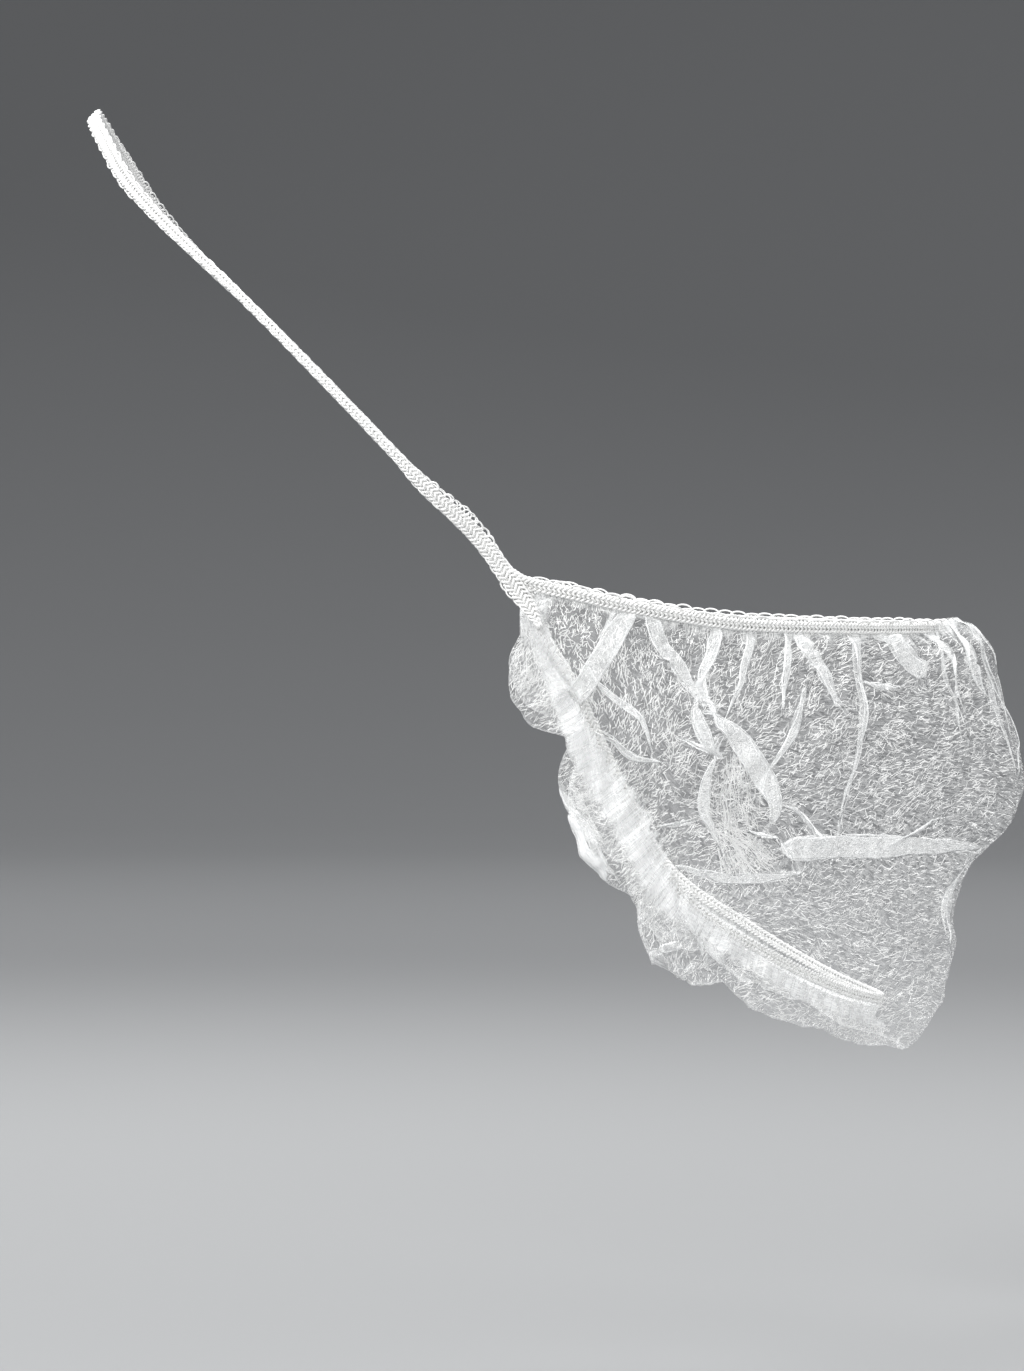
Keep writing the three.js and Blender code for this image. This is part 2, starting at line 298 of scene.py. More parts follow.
# Tucks: folds where the sheet doubles back over itself, as they lie seen from the side
tucks = {
    # points as forward, up; wide is the band that lies three layers thick, lay is the side it falls to
    "side": {
        "rearSlant": {"fromEdge": True, "wide": 3.8, "taper": 0.4, "lay": 1,
            "points": [(121.6, -110.5), (123.6, -116.8), (126.6, -120.4), (130.1, -125.1), (134.2, -131.2)]},
        "rearUpright": {"fromEdge": True, "wide": 2.2, "taper": 0.4, "lay": -1,
            "points": [(136.9, -112.5), (135.4, -118.8), (133.5, -123.8), (134.6, -128.4), (136.9, -134.6)]},
        "rearShort": {"fromEdge": True, "wide": 1.9, "lay": 1,
            "points": [(144.4, -114.5), (143.6, -118), (140.9, -126), (138, -133.5)]},
        "diamondFront": {"wide": 5.2, "taper": 0.35, "lay": 1,
            "points": [(133.5, -131), (136.3, -133.6), (139.6, -136.6), (143.6, -142.4), (147.2, -148),
                       (148.3, -150.6), (148.4, -154.2), (147.2, -157)]},
        "diamondTop": {"wide": 3.6, "lay": -1,
            "points": [(131.2, -128.6), (131.9, -133.6), (134.2, -139), (136.6, -143)]},
        "diamondBack": {"wide": 2.8, "lay": -1,
            "points": [(136.5, -137.5), (134.3, -144), (133.4, -152.5), (135, -156), (138, -162)]},
        "shelfLow": {"wide": 2.9, "taper": 0.35, "lay": -1,
            "points": [(125, -165.3), (136, -167), (145.5, -167.6), (157, -167)]},
        "shelf": {"wide": 5.0, "taper": (0.07, 0.6), "lay": 1,
            "points": [(149, -161.7), (156, -161.2), (166, -161), (178, -161.4), (190, -162.5), (198, -164)]},
        "shelfTop": {"wide": 1.3, "lay": 1, "points": [(141.5, -156.9), (146.5, -158.3), (152, -159.2)]},
        "upperShort": {"fromEdge": True, "wide": 1.7, "lay": 1,
            "points": [(152, -114.5), (151.3, -125), (150.3, -133)]},
        "upperSlant": {"wide": 2.4, "lay": 1,
            "points": [(155.8, -126), (153.6, -134), (151, -140), (148, -148)]},
        "upperBack": {"fromEdge": True, "wide": 2.8, "lay": -1,
            "points": [(154.6, -114.5), (155.6, -118.4), (158.6, -122.5), (162, -128.5), (165.4, -133)]},
        "upperLong": {"fromEdge": True, "wide": 2.1, "lay": 1,
            "points": [(166, -114), (167.3, -125), (168.4, -133.5), (165.4, -146), (163, -156)]},
        "upperAcross": {"wide": 2.4, "lay": 1, "points": [(167.6, -125.4), (171.5, -126.8), (178.5, -127.3)]},
        "upperWedge": {"fromEdge": True, "wide": 4.2, "taper": 0.2, "lay": -1,
            "points": [(172.5, -114.5), (178, -120.5), (184.5, -125.5)]},
        "cornerTop": {"fromEdge": True, "wide": 4.4, "taper": 0.12, "lay": -1,
            "points": [(118, -109.5), (113, -117.5), (109.3, -123.5), (106, -129.5)]},
        "cornerMiddle": {"wide": 1.8, "lay": 1,
            "points": [(110.5, -121), (114, -128), (120, -133), (122.5, -140.5)]},
        "cornerLow": {"wide": 2.2, "lay": -1,
            "points": [(108.5, -134.8), (114, -137), (118, -140.8), (126, -142.5)]},
        "shelfSlant": {"wide": 2.2, "lay": 1, "points": [(150.4, -151), (156, -154.1), (162.6, -157.6)]},
        "shelfFront": {"wide": 1.6, "lay": 1, "points": [(174, -158), (181.5, -156.5), (188.5, -155)]},
        "lowerAcross": {"wide": 1.2, "lay": -1, "points": [(121.5, -156.5), (128, -155.7), (134, -154)]},
        "lowerRise": {"wide": 1.2, "lay": 1, "points": [(127, -136.5), (130.5, -139.2), (134.5, -141.5)]},
    },
    # points as forward, up, on the ruffle below the lower elastic
    "ruffle": {
        "puffBack": {"wide": 2.4, "taper": 0.3, "lay": 1,
            "points": [(105.5, -150.5), (108, -156), (111.5, -163.5), (115.5, -168)]},
        "puffAcross": {"wide": 2.2, "taper": 0.3, "lay": 1,
            "points": [(119.6, -183.8), (124.3, -182.7), (130, -181.6)]},
        "puffSlant": {"wide": 1.7, "taper": 0.3, "lay": -1,
            "points": [(127.8, -190.7), (130.3, -188), (132.8, -185.5)]},
        "puffUnder": {"wide": 2.0, "taper": 0.3, "lay": -1,
            "points": [(131, -179), (134.9, -183), (139.9, -188.4)]},
    },
    # points as across, up, on the front that the camera sees edge on
    "front": {
        "upperRight": {"fromEdge": True, "wide": 2.6, "lay": 1,
            "points": [(-9, -122), (-6.5, -137), (-10, -150)]},
        "upperLeft": {"fromEdge": True, "wide": 2.8, "lay": -1, "points": [(6, -120), (9.5, -133), (7, -149)]},
        "upperMiddle": {"fromEdge": True, "wide": 2.0, "lay": 1,
            "points": [(1.5, -119), (-1, -131), (1, -140)]},
        "lowerRight": {"wide": 2.2, "lay": -1, "points": [(-12, -168), (-8, -177), (-9, -187)]},
        "lowerLeft": {"wide": 2.2, "lay": 1, "points": [(5, -166), (7.5, -176), (4, -186)]},
    },
    # in half widths: how far the sheet is drawn in, where a fold turns, where it rises from, its core
    "drawn": 2.0, "turnAt": 0.39, "riseFrom": -0.75, "core": (0.6, 1.4), "coreFull": 0.98,
    "turns": 3.0, "rise": 1.2, "riseFull": 3, "fade": 3.0,
    "taper": 0.55, "slender": 0.2,  # the share of its length that a tuck tapers over, and its width at the end
    "dense": 0.26, "foldRoot": 4.44, "leastShare": 0.05, "noFold": 9.0,  # what the finish reads
    "fine": 40, "perMm": 2.5, "leastPoints": 12,  # points between two rows, a millimetre, on the shortest tuck
    # small tucks below the upper elastic
    "pleats": {"count": 46, "wide": (1.0, 2.2), "long": (7, 24), "clear": 4.2, "start": 0.03,
               "jitter": (0.2, 0.8), "slant": 0.02, "ends": 0.05},
}
rightHalf, leftHalf, frontPart = (0, 0.5), (0.5, 1), (0.35, 0.65)  # shares from corner to corner


def nearestOnWall(start, stop, distance, ruffle=False):
    # shares of the point at the least distance, between two shares along the wall or along its ruffle
    count, rows = smooth["wall"].shape[:2]
    low, high = int(start * count), int(stop * count)
    first, last = (int(drawnPlace * rows), int(turnPlace * rows)) if ruffle else (0, int(drawnPlace * rows))
    best = np.argmin(distance(smooth["wall"][low:high, first:last].reshape(-1, 3)))
    return (low + best // (last - first)) / (count - 1), (first + best % (last - first)) / (rows - 1)


def onWall(line, start, stop, axis=0, ruffle=False):
    # points given as forward, up, or across, up for axis 1
    off = lambda w, f, z: np.hypot(w[:, axis] - f, w[:, 2] - z)
    return np.array([nearestOnWall(start, stop, lambda w: off(w, f, z), ruffle) for f, z in line])


def behind(points):
    # places on the far side that the camera sees through the near side's points
    tilt = math.radians(camera["elevation"])
    back = camera["distance"] * np.array([0, -math.cos(tilt), math.sin(tilt)])
    eye = (np.array(camera["target"]) + back) / mm
    offLine = lambda w, p: np.linalg.norm(np.cross(w - eye, unit(p - eye)), axis=1)
    return np.array([nearestOnWall(*leftHalf, lambda w: offLine(w, p)) for p in points])


def tuckPath(shares, tuck, lay):
    # a tuck from the edge starts under the upper elastic at its full width
    if tuck.get("fromEdge"):
        shares[0, 1] = 0
    points = readGrid(smooth["wall"], *np.transpose(shares))
    count = len(points)
    places = np.linspace(0, count - 1, tucks["fine"] * (count - 1) + 1)
    if count > 2:
        dense = throughPoints(points, places)
    else:
        dense = points[0] + places[:, None] * (points[1] - points[0])
    length = np.linalg.norm(np.diff(dense, axis=0), axis=1).sum()
    count = max(tucks["leastPoints"], int(length * tucks["perMm"]))
    place, ahead, _ = alongLine(dense, np.linspace(0, 1, count))
    return {"place": place, "ahead": ahead, "length": length, "half": tuck["wide"], "lay": lay,
            "fromEdge": tuck.get("fromEdge"), "taper": np.broadcast_to(tuck.get("taper", tucks["taper"]), 2)}


def layTucks():
    paths = []
    for tuck in tucks["side"].values():
        shares = onWall(tuck["points"], *rightHalf)
        far = behind(readGrid(smooth["wall"], *shares.T))
        paths += [tuckPath(shares, tuck, tuck["lay"]), tuckPath(far, tuck, -tuck["lay"])]
    for tuck in tucks["front"].values():
        shares = onWall(tuck["points"], *frontPart, axis=1)
        paths.append(tuckPath(shares, tuck, tuck["lay"]))
    for tuck in tucks["ruffle"].values():
        shares = onWall(tuck["points"], *rightHalf, ruffle=True)
        paths += [tuckPath(shares, tuck, tuck["lay"]), tuckPath(shares * [-1, 1] + [1, 0], tuck, -tuck["lay"])]
    small, main = tucks["pleats"], np.concatenate([path["place"] for path in paths])
    for k in range(small["count"]):
        u = (k + dice.uniform(*small["jitter"])) / small["count"]
        reach = small["start"] + dice.uniform(*small["long"]) / smooth["depth"]
        shares = np.array([(u, small["start"]), (u + dice.uniform(-small["slant"], small["slant"]), reach)])
        path = tuckPath(shares, {"wide": dice.uniform(*small["wide"]), "fromEdge": True}, dice.choice([-1, 1]))
        clear = np.linalg.norm(path["place"][:, None] - main[None], axis=2).min()
        if clear > small["clear"] and small["ends"] < u < 1 - small["ends"]:  # stays off the larger tucks
            paths.append(path)
    return paths


tuckPaths = layTucks()
print("tucks laid:", len(tuckPaths))


def nearTuck(points, path, margin):
    low = path["place"].min(axis=0) - margin
    high = path["place"].max(axis=0) + margin
    return np.nonzero(np.all((points > low) & (points < high), axis=1))[0]


def tuckShift(points, normals):
    # each tuck draws the sheet over itself in an S and lifts the upper layers clear
    count, turnAt = len(points), tucks["turnAt"]
    shift, free = np.zeros_like(points), np.ones(count)
    layered, foldLine = np.zeros(count), np.full(count, tucks["noFold"])
    for path in tuckPaths:
        near = nearTuck(points, path, path["half"] * tucks["drawn"])
        if not len(near):
            continue
        gap = np.linalg.norm(points[near][:, None] - path["place"][None], axis=2)
        best = np.argmin(gap, axis=1)
        at, ahead = path["place"][best], path["ahead"][best]
        across = unit(np.cross(normals[near], ahead)) * path["lay"]
        run = best / (len(path["place"]) - 1) * path["length"]
        start, end = path["taper"] * path["length"]
        toEnd = path["length"] - run
        grown = toEnd / end
        if not path["fromEdge"]:
            toEnd, grown = np.minimum(run, toEnd), np.minimum(run / start, grown)
        half = path["half"] * (tucks["slender"] + (1 - tucks["slender"]) * np.clip(grown, 0, 1))
        off = np.sum((points[near] - at) * across, axis=1) / half
        share = smoothStep(toEnd, 0, tucks["fade"])
        size = np.abs(off)
        drawn = np.where(size < 0.5, np.sin(np.pi * size), 1 - smoothStep(size, 0.5, tucks["drawn"]))
        slide = -share * tucks["turns"] * half / np.pi * np.sign(off) * drawn
        lift = share * tucks["rise"] * np.minimum(1, half / tucks["riseFull"])
        lift = lift * smoothStep(off, tucks["riseFrom"], turnAt) * (1 - smoothStep(off, turnAt, 1))
        core = tucks["coreFull"] * share * (1 - smoothStep(size, *tucks["core"]))
        shift[near] += (across * slide[:, None] + normals[near] * lift[:, None]) * free[near][:, None]
        free[near] *= 1 - core  # the next tucks give way inside this one
        layered[near] = np.maximum(layered[near], share * (size < tucks["core"][0]))
        # squared, this is the distance that shows from the fold
        away = (size - turnAt) * np.sqrt(tucks["foldRoot"] * half) / np.maximum(share, tucks["leastShare"])
        foldLine[near] = np.where(np.abs(away) < np.abs(foldLine[near]), away, foldLine[near])
    return shift, layered, foldLine


def pouchPoints(u, v):
    # the finished sheet at shares from corner to corner and from upper to lower edge, in metres
    points, normals = readGrid(smooth["wall"], u, v), unit(readGrid(smooth["normals"], u, v))
    along = 1 - np.abs(2 * u - 1)
    calm = smoothStep(np.minimum(v, 1 - v) * smooth["depth"], 0, gathers["calmEdge"])
    calm = calm * smoothStep(along, 0, pouch["cornerShare"])
    front = smoothStep(along, *gathers["frontFrom"])  # there the ruffle hangs smooth
    calm *= 1 - gathers["calmFront"] * front * smoothStep(v, drawnPlace, turnPlace)
    depth = calm * crumpleDepth(points) + gatherDepth(u, v)
    shift, layered, foldLine = tuckShift(points, normals)
    # at the hem the folds slide along the elastic and lie flat under it
    step = gathers["hemStep"]
    down = unit(readGrid(smooth["wall"], u, v + step) - readGrid(smooth["wall"], u, v - step))
    fromHem = v * smooth["depth"]
    rise = np.sum(shift * normals, axis=1) * (smoothStep(fromHem, *gathers["hemRise"]) - 1)
    slip = np.sum(shift * down, axis=1) * (smoothStep(fromHem, *gathers["hemSlip"]) - 1)
    shift += normals * rise[:, None] + down * slip[:, None]
    return (points + normals * depth[:, None] + shift) * mm, layered, foldLine


def bandShare(u, v, steps=161, margin=2):
    # the drawn band over the lower elastic, ragged along both its sides
    points = readGrid(smooth["wall"], u, v)
    rows = np.array(gathers["band"], float)
    line = throughPoints(rows, np.linspace(0, len(rows) - 1, steps))
    share = np.zeros(len(u))
    near = np.nonzero((v > drawnPlace / 2) & (points[:, 0] < rows[:, 0].max() + margin))[0]
    gap = np.linalg.norm(points[near][:, None, ::2] - line[None, :, :2], axis=2)
    best = np.argmin(gap, axis=1)
    half = line[best, 2] * (1 + gathers["bandRagged"] * foldWave(u[near], lowerFolds))
    share[near] = 1 - smoothStep(gap[np.arange(len(near)), best] / half, *gathers["bandEdge"])
    return share


def gatheredShare(u, v):
    # how closely the sheet is drawn together: full at the elastics, a thin line at the ruffle's turned rim
    full, wide = gathers["rim"]
    upperDeep = gathers["upper"]["dense"] * (1 + gathers["upper"]["ragged"] * foldWave(u, upperFolds))
    band = np.maximum(bandShare(u, v), 1 - smoothStep(v * smooth["depth"], 0, upperDeep))
    band = np.maximum(band, 1 - smoothStep((1 - v) * smooth["depth"], 0, gathers["lower"]["dense"]))
    band = np.maximum(band, full * np.exp(-((v - turnPlace) * smooth["depth"] / wide) ** 2))
    corner = 1 - smoothStep(1 - np.abs(2 * u - 1), *gathers["corner"])
    return np.maximum(band, corner)


def makePouch():
    bm = bmesh.new()
    bmesh.ops.create_grid(bm, x_segments=pouch["columns"], y_segments=pouch["rows"], size=0.5)
    bm.verts.ensure_lookup_table()
    flat = np.array([v.co[:2] for v in bm.verts]) + 0.5
    rest = readGrid(smooth["wall"], flat[:, 0], flat[:, 1])
    busy = np.zeros(len(rest), bool)
    for path in tuckPaths:
        near = nearTuck(rest, path, path["half"])
        gap = np.linalg.norm(rest[near][:, None] - path["place"][None], axis=2).min(axis=1)
        busy[near] |= gap < path["half"]
    edges = [e for e in bm.edges if busy[e.verts[0].index] and busy[e.verts[1].index]]
    bmesh.ops.subdivide_edges(bm, edges=edges, cuts=1, use_grid_fill=True)
    flat = np.array([v.co[:2] for v in bm.verts]) + 0.5
    places, layered, foldLine = pouchPoints(flat[:, 0], flat[:, 1])
    dense = np.maximum(tucks["dense"] * layered, gatheredShare(flat[:, 0], flat[:, 1]))
    denseLayer, foldLayer = bm.verts.layers.float.new("dense"), bm.verts.layers.float.new("foldLine")
    cut, (wide, deep) = bm.loops.layers.uv.new("cut"), pouch["cut"]
    for face in bm.faces:
        for loop in face.loops:
            loop[cut].uv = (loop.vert.co[0] * wide, loop.vert.co[1] * deep)
    for vert, place, share, away in zip(bm.verts, places, dense, foldLine):
        vert.co = place
        vert[denseLayer], vert[foldLayer] = share, away
    bmesh.ops.reverse_faces(bm, faces=bm.faces[:])
    for face in bm.faces:
        face.smooth = True
    sheet = finishMesh(bm, "pouch_sheet")
    print("pouch sheet:", len(sheet.data.polygons), "faces")
    return sheet


def finishMesh(bm, name):
    mesh = bpy.data.meshes.new(name)
    bm.to_mesh(mesh)
    bm.free()
    piece = bpy.data.objects.new(name, mesh)
    bpy.context.scene.collection.objects.link(piece)
    return piece


# Loose surface fibres of the nonwoven, thin ribbons that follow the sheet
fibres = {
    "count": 18500, "points": 3, "long": (0.7, 2.4), "wide": (0.09, 0.16), "bend": 0.06, "wander": 0.06,
    "lift": 0.04, "outside": 0.6,  # height over the sheet, share of them on its outer face
    "spread": (0.01, 0.99), "tries": 3, "evenness": 0.65, "foldedRoom": 1e-6,  # how their places are drawn
    "inset": 0.002, "nudge": 0.0006, "leastStep": 40, "layered": 0.1, "offFold": 0.7,
    # degrees that the strokes rise to the front from corner to middle, and how they turn from patch to patch
    "slant": ([0, 0.3, 0.6, 1], [58, 50, 24, 5]), "swirl": 15, "patch": 7, "stray": 25,
    # fans drawn tight between the folds, as forward, up
    "fans": [
        {"count": 240, "tip": (133.4, -152.4), "rim": [(137.5, -166), (144, -164.5), (151, -162)]},
        {"count": 170, "tip": (136.6, -138.6), "rim": [(136, -152.5), (140, -156), (145, -154.5)]},
    ],
    "fanLong": 2.8, "fanReach": (0.1, 1), "fanEven": 0.7, "fanStray": 0.12,
}


def sheetFrame(u, v):
    # the finished sheet's places, its steps ahead and down in millimetres to a share, and where it is folded
    nudge = fibres["nudge"]
    here, layered, foldLine = pouchPoints(u, v)
    ahead = (pouchPoints(u + nudge, v)[0] - here) / nudge / mm
    down = (pouchPoints(u, v + nudge)[0] - here) / nudge / mm
    return here, ahead, down, (layered > fibres["layered"]) | (np.abs(foldLine) < fibres["offFold"])


def sheetHeading(ahead, down, ray):
    # the heading on the sheet of a direction seen from the side
    ahead, down = unit(ahead)[:, ::2], unit(down)[:, ::2]
    cross = lambda a, b: a[:, 0] * b[:, 1] - a[:, 1] * b[:, 0]
    way = np.sign(cross(ahead, down))
    return np.arctan2(cross(ahead, ray) * way, cross(ray, down) * way)


def drawWeb():
    # shares and headings all over the sheet, at the way the web was laid, which turns from patch to patch
    count, drawn = fibres["count"], fibres["count"] * fibres["tries"]
    tries = dice.uniform(*fibres["spread"], (2, drawn))
    here, ahead, down, folded = sheetFrame(*tries)
    room = np.linalg.norm(np.cross(ahead, down), axis=1) ** fibres["evenness"]
    room = np.where(folded, fibres["foldedRoom"], room)
    chosen = np.argsort(dice.random(drawn) / room)[:count]
    u, v = tries[:, chosen]
    swirl = sum(np.sin(here[chosen] / mm @ way / fibres["patch"] + phase[0]) for way, _, phase in crumpleWays)
    turn = eased(1 - np.abs(2 * u - 1), *fibres["slant"]) + fibres["swirl"] * swirl
    turn = np.radians(turn + dice.normal(0, fibres["stray"], count))
    ray = np.stack([np.cos(turn), np.sin(turn)], 1)
    return u, v, sheetHeading(ahead[chosen], down[chosen], ray)


def drawFan(fan):
    # shares on the right wall and headings that spread from the fan's tip
    rim = np.array(fan["rim"])
    place = dice.uniform(0, len(rim) - 1, fan["count"])
    far = np.stack([np.interp(place, np.arange(len(rim)), rim[:, k]) for k in range(2)], 1)
    ray = (far - fan["tip"]) * dice.uniform(*fibres["fanReach"], fan["count"])[:, None] ** fibres["fanEven"]
    u, v = onWall(np.array(fan["tip"]) + ray, *rightHalf).T
    _, ahead, down, _ = sheetFrame(u, v)
    return u, v, sheetHeading(ahead, down, ray) + dice.normal(0, fibres["fanStray"], fan["count"])


def makeFibres():
    steps, fanCount = fibres["points"], sum(fan["count"] for fan in fibres["fans"])
    u, v, heading = np.concatenate([drawWeb()] + [drawFan(fan) for fan in fibres["fans"]], axis=1)
    count = len(u)
    turn = dice.normal(0, fibres["bend"], count)
    step = dice.uniform(*fibres["long"], count) / (steps - 1)
    step[-fanCount:] *= fibres["fanLong"]
    turn[-fanCount:] = 0
    us, vs = [u], [v]
    perShare = lambda way: np.maximum(np.linalg.norm(way, axis=1), fibres["leastStep"])
    for _ in range(steps - 1):
        heading = heading + turn + dice.normal(0, fibres["wander"], count)
        _, ahead, down, _ = sheetFrame(us[-1], vs[-1])
        us.append(us[-1] + np.cos(heading) * step / perShare(ahead))
        vs.append(vs[-1] + np.sin(heading) * step / perShare(down))
    u, v = (np.clip(np.stack(line, 1), fibres["inset"], 1 - fibres["inset"]).ravel() for line in (us, vs))
    here, ahead, down, folded = sheetFrame(u, v)
    normals = unit(np.cross(down, ahead))
    side = np.repeat(np.where(dice.random(count) < fibres["outside"], 1, -1), steps)[:, None]
    line = (here + normals * side * fibres["lift"] * mm).reshape(count, steps, 3)
    normals = normals.reshape(count, steps, 3)
    across = unit(np.cross(np.gradient(line, axis=1), normals))
    half = dice.uniform(*fibres["wide"], count)[:, None, None] * mm / 2
    flat = ~folded.reshape(count, steps).any(axis=1)  # none across a fold
    line, across, half, count = line[flat], across[flat], half[flat], flat.sum()
    verts = np.stack([line - across * half, line + across * half], axis=2).reshape(-1, 3)
    start = (np.arange(count)[:, None] * steps + np.arange(steps - 1)[None]).ravel() * 2
    faces = np.stack([start, start + 1, start + 3, start + 2], axis=1)
    mesh = bpy.data.meshes.new("pouch_fibres")
    mesh.from_pydata(verts.tolist(), [], faces.tolist())
    piece = bpy.data.objects.new("pouch_fibres", mesh)
    bpy.context.scene.collection.objects.link(piece)
    print("fibres:", count)
    return piece


# Knitted elastics: columns of twisted strands, with picot loops along their edges
elastic = {
    "width": 2.6, "sewnGap": 0.7, "strand": 0.3, "stitch": 2.1, "wales": (-0.36, 0, 0.36), "step": 0.22,
    "twist": (0.14, 0.38),  # a ply's swing across, in widths, and off the face
    "loopThread": 0.21, "loopPitch": 3.6, "loopHeight": 1.1, "loopLean": 0.27, "loopSpread": (0.75, 1.2),
    "loopRoot": 0.46, "loopSwing": 0.25,  # where a loop starts, in widths, and its swing off the face
    "loopGrow": (8, 70), "loopFade": (240, 340), "loopLeast": 0.7,  # in points of the edge's line from its end
    # where they run in under the head elastic
    "upperLead": (90.6, 67.8, -103.4), "lowerLead": (92.6, 66.6, -104.6),
}
# Head elastic from its middle behind to the corner: place, width, lean of its face, picots in front and behind
headRoute = {
    "rows": [(-0.8, 0, 0), (1, 20, -3.5), (4.5, 33, -9.5), (9, 44, -17), (14.5, 51, -23.5), (21.1, 57.5, -30.2),
             (34.2, 67, -42.5), (54.2, 75.3, -62.8), (68.2, 76, -77.5), (75, 74.8, -84.6), (81.2, 72.8, -90.2),
             (85.4, 71, -94.6), (89.2, 69.6, -99.4), (93.2, 68.8, -104.8),
             (96.4, 69.2, -109.4), (98.6, 69.4, -113.6)],
    "width": [3.2, 3.1, 3.1, 3.1, 2.6, 2.3, 2, 2, 1.9, 2.9, 3.6, 3.6, 3.3, 4.2, 3.4, 1.5],
    "lean": [45, 42, 38, 33, 28, 24, 17, 8, 5, 3, 2, 0, 0, 0, 0, 0],  # degrees that the outer face tips up
    "loopsFront": [0.5, 0.5, 0.6, 0.8, 0.6, 0.3, 0.2, 0.2, 0.3, 0.9, 1.2, 1.1, 0.4, 0, 0, 0],
    "loopsBehind": [0.5, 0.5, 0.5, 0.5, 0.4, 0.3, 0.2, 0.2, 0.3, 0.5, 0.2, 0.1, 0.4, 0.9, 0.4, 0],
    "loopPitch": 2.1, "axis": 75,  # its faces look away from an upright line this far forward
}


def threadMesh(name, threads):
    # each thread is (points in millimetres, radius)
    parts = []
    for radius in sorted({r for _, r in threads}):
        curve = bpy.data.curves.new(name, "CURVE")
        curve.dimensions = "3D"
        curve.bevel_depth = radius * mm
        curve.bevel_resolution = 0
        curve.use_fill_caps = True
        for points in (p for p, r in threads if r == radius):
            spline = curve.splines.new("POLY")
            spline.points.add(len(points) - 1)
            places = np.column_stack([points * mm, np.ones(len(points))])
            spline.points.foreach_set("co", places.ravel())
            spline.use_smooth = True
        carrier = bpy.data.objects.new(name, curve)
        bpy.context.scene.collection.objects.link(carrier)
        bpy.context.view_layer.update()
        made = carrier.evaluated_get(bpy.context.evaluated_depsgraph_get())
        parts.append(bpy.data.meshes.new_from_object(made))
        bpy.data.objects.remove(carrier)
        bpy.data.curves.remove(curve)
    bm = bmesh.new()
    for part in parts:
        bm.from_mesh(part)
        bpy.data.meshes.remove(part)
    for face in bm.faces:
        face.smooth = True
    piece = finishMesh(bm, name)
    print(name + ":", len(piece.data.polygons), "faces")
    return piece


def knit(path, width, picots, pitch):
    # path holds a dense middle line with its across and face directions; picots are heights by side
    middle, across, face = path
    run = runLengths(middle)
    s = np.linspace(0, run[-1], int(run[-1] / elastic["step"]))
    read = lambda values, at: np.stack([np.interp(at, run, values[:, k]) for k in range(3)], -1)
    laid = lambda at, x, y: read(middle, at) + read(across, at) * x[:, None] + read(face, at) * y[:, None]
    wide = np.interp(s, run, width) - 2 * elastic["strand"]
    swing, high = elastic["twist"]
    threads = []
    for k, wale in enumerate(elastic["wales"]):
        for ply in (0, np.pi):
            phase = (2 * np.pi * s / elastic["stitch"] + ply) * (1 if k % 2 else -1)
            points = laid(s, wide * (wale + swing * np.cos(phase)), high * np.sin(phase))
            threads.append((points, elastic["strand"]))
    for side, loops in picots.items():
        phase = 2 * np.pi * s / pitch + (side < 0) * np.pi
        uneven = dice.uniform(*elastic["loopSpread"], int(run[-1] / pitch) + 2)
        tall = np.interp(s, run, loops) * uneven[(phase / (2 * np.pi)).astype(int)]
        at = np.clip(s - elastic["loopLean"] * pitch * np.sin(phase), 0, run[-1])
        x = side * (elastic["loopRoot"] * wide + tall * (0.5 - 0.5 * np.cos(phase)))
        points = laid(at, x, elastic["loopSwing"] * np.sin(phase * 0.5))
        threads.append((points, elastic["loopThread"]))
    return threads


def edgePath(rows, lead, steps=1201):
    # an edge's elastic, with a lead at each end that runs in under the head elastic
    shares = np.linspace(0, 1, steps)
    middle, ahead, length = alongLine(mirrored([lead] + rows), shares)
    leadShare = np.linalg.norm(np.subtract(rows[0], lead)) / length
    out = pouchFrames(np.clip((shares - leadShare) / (1 - 2 * leadShare), 0, 1))[2]
    face = unit(out - ahead * np.sum(out * ahead, axis=1, keepdims=True))
    across = np.cross(face, ahead)
    return middle + across * (elastic["sewnGap"] + elastic["width"] / 2), across, face


def headPath(steps=1601):
    rows = headRoute["rows"][::-1]
    dense = mirrored(rows)
    shares = np.linspace(0, 1, steps)
    middle, ahead, length = alongLine(dense, shares)
    place = np.abs(np.linspace(-1, 1, len(dense))) * (len(rows) - 1)  # rows from the middle
    place = np.interp(shares * length, runLengths(dense), place)
    column = lambda name: np.interp(place, np.arange(len(rows)), headRoute[name])
    lean = np.radians(column("lean"))[:, None]
    out = unit((middle - [headRoute["axis"], 0, 0]) * [1, 1, 0])
    out = out * np.cos(lean) + np.array([0, 0, 1]) * np.sin(lean)
    face = unit(out - ahead * np.sum(out * ahead, axis=1, keepdims=True))
    loops = {-1: column("loopsFront"), 1: column("loopsBehind")}
    print("head elastic length", round(length), "mm")
    return (middle, np.cross(face, ahead), face), column("width"), loops


def makeElastics():
    pieces = {}
    for name, rows, lead, picots in (("upper_elastic", pouch["upperEdge"], elastic["upperLead"], True),
                                     ("lower_elastic", pouch["lowerEdge"], elastic["lowerLead"], False)):
        path = edgePath(rows, lead)
        wide = np.full(len(path[0]), elastic["width"])
        fromEnd = np.minimum(np.arange(len(wide)), np.arange(len(wide))[::-1])
        grown = smoothStep(fromEnd, *elastic["loopGrow"])
        grown *= 1 - (1 - elastic["loopLeast"]) * smoothStep(fromEnd, *elastic["loopFade"])
        loops = {1: elastic["loopHeight"] * grown} if picots else {}
        pieces[name] = threadMesh(name + "_knit", knit(path, wide, loops, elastic["loopPitch"]))
    path, wide, loops = headPath()
    pieces["head_elastic"] = threadMesh("head_elastic_knit", knit(path, wide, loops, headRoute["loopPitch"]))
    return pieces


